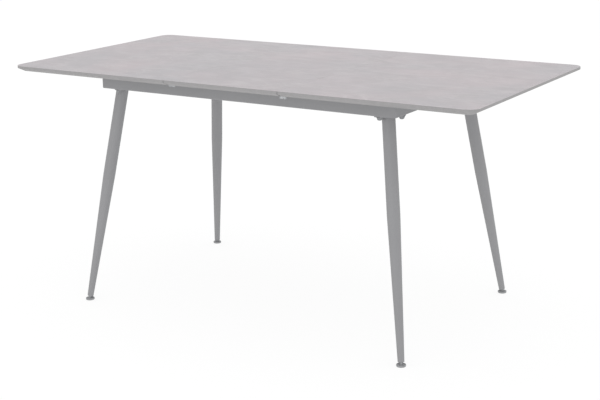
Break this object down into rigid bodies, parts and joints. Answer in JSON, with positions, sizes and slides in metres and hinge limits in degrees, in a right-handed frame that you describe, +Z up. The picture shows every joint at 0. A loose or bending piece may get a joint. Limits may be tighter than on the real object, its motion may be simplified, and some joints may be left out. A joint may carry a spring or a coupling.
{
  "type": "extendable dining table",
  "caption": "Extendable dining table: sliding half tops, lift-out centre leaf, slim steel frame and splayed tapered legs on levelling feet.",
  "frame": {"origin": "on the floor, under the middle of the table", "axes": "+X along the table's length, +Y to the rear, +Z up; shown extended"},
  "size_m": [1.6, 0.8, 0.76],
  "materials": {
    "concrete_look_top": "matt concrete-look laminate on board",
    "powder_coat": "fine matt powder coat",
    "zinc_steel": "zinc plated",
    "dark_fastener": "satin",
    "nylon": "matt nylon",
    "foot_plastic": "matt moulded"
  },
  "bodies": {
    "frame": {"channel_stops": "nylon", "corner_gusset_front_left": "powder_coat", "corner_gusset_front_right": "powder_coat", "corner_gusset_rear_left": "powder_coat", "corner_gusset_rear_right": "powder_coat", "cross_bar_left": "powder_coat", "cross_bar_right": "powder_coat", "end_glide_pads": "nylon", "end_rail_left": "powder_coat", "end_rail_right": "powder_coat", "glide_strip_front": "nylon", "glide_strip_rear": "nylon", "leg_bolts": "dark_fastener", "leg_front_left": "powder_coat", "leg_front_right": "powder_coat", "leg_insert_front_left": "foot_plastic", "leg_insert_front_right": "foot_plastic", "leg_insert_rear_left": "foot_plastic", "leg_insert_rear_right": "foot_plastic", "leg_plate_front_left": "powder_coat", "leg_plate_front_right": "powder_coat", "leg_plate_rear_left": "powder_coat", "leg_plate_rear_right": "powder_coat", "leg_rear_left": "powder_coat", "leg_rear_right": "powder_coat", "leg_washers": "dark_fastener", "long_rail_front": "powder_coat", "long_rail_rear": "powder_coat", "runner_channel_front": "zinc_steel", "runner_channel_rear": "zinc_steel", "weld_nuts": "zinc_steel"},
    "left_half": {"arm_screws_left": "zinc_steel", "button_screws_left": "zinc_steel", "half_top_left": "concrete_look_top", "runner_shoes_left": "nylon", "shoe_rivets_left": "zinc_steel", "slide_arm_front_left": "zinc_steel", "slide_arm_rear_left": "zinc_steel"},
    "right_half": {"arm_screws_right": "zinc_steel", "button_screws_right": "zinc_steel", "half_top_right": "concrete_look_top", "runner_shoes_right": "nylon", "shoe_rivets_right": "zinc_steel", "slide_arm_front_right": "zinc_steel", "slide_arm_rear_right": "zinc_steel"},
    "leaf": {"centre_leaf": "concrete_look_top"},
    "foot_front_left": {"foot_disc_front_left": "foot_plastic", "foot_stud_front_left": "zinc_steel"},
    "foot_front_right": {"foot_disc_front_right": "foot_plastic", "foot_stud_front_right": "zinc_steel"},
    "foot_rear_left": {"foot_disc_rear_left": "foot_plastic", "foot_stud_rear_left": "zinc_steel"},
    "foot_rear_right": {"foot_disc_rear_right": "foot_plastic", "foot_stud_rear_right": "zinc_steel"},
    "button_front_left": {"turn_button_front_left": "zinc_steel"},
    "button_front_right": {"turn_button_front_right": "zinc_steel"},
    "button_rear_left": {"turn_button_rear_left": "zinc_steel"},
    "button_rear_right": {"turn_button_rear_right": "zinc_steel"}
  },
  "joints": [
    {"name": "leaf_lift", "type": "slide", "parent": "frame", "child": "leaf", "axis": [0, 0, 1], "range_m": [0, 0.8]},
    {"name": "left_half_slide", "type": "slide", "parent": "frame", "child": "left_half", "axis": [1, 0, 0], "range_m": [0, 0.2]},
    {"name": "right_half_slide", "type": "slide", "parent": "frame", "child": "right_half", "axis": [-1, 0, 0], "range_m": [0, 0.2]},
    {"name": "button_front_left_turn", "type": "hinge", "parent": "left_half", "child": "button_front_left", "pos_m": [-0.2065, -0.3555, 0.7387], "axis": [0, 0, -1], "range_deg": [0, 90]},
    {"name": "button_front_right_turn", "type": "hinge", "parent": "right_half", "child": "button_front_right", "pos_m": [0.2065, -0.369, 0.7387], "axis": [0, 0, -1], "range_deg": [0, 90]},
    {"name": "button_rear_left_turn", "type": "hinge", "parent": "left_half", "child": "button_rear_left", "pos_m": [-0.2065, 0.3555, 0.7387], "axis": [0, 0, 1], "range_deg": [0, 90]},
    {"name": "button_rear_right_turn", "type": "hinge", "parent": "right_half", "child": "button_rear_right", "pos_m": [0.2065, 0.369, 0.7387], "axis": [0, 0, 1], "range_deg": [0, 90]},
    {"name": "foot_front_left_level", "type": "slide", "parent": "frame", "child": "foot_front_left", "axis": [-0.1392, -0.1476, -0.9792], "range_m": [0, 0.01]},
    {"name": "foot_front_right_level", "type": "slide", "parent": "frame", "child": "foot_front_right", "axis": [0.1392, -0.1476, -0.9792], "range_m": [0, 0.01]},
    {"name": "foot_rear_left_level", "type": "slide", "parent": "frame", "child": "foot_rear_left", "axis": [-0.1392, 0.1476, -0.9792], "range_m": [0, 0.01]},
    {"name": "foot_rear_right_level", "type": "slide", "parent": "frame", "child": "foot_rear_right", "axis": [0.1392, 0.1476, -0.9792], "range_m": [0, 0.01]}
  ],
  "couplings": [
    {"joint": "left_half_slide", "follows": "leaf_lift", "ratio": 0.25},
    {"joint": "right_half_slide", "follows": "leaf_lift", "ratio": 0.25}
  ]
}
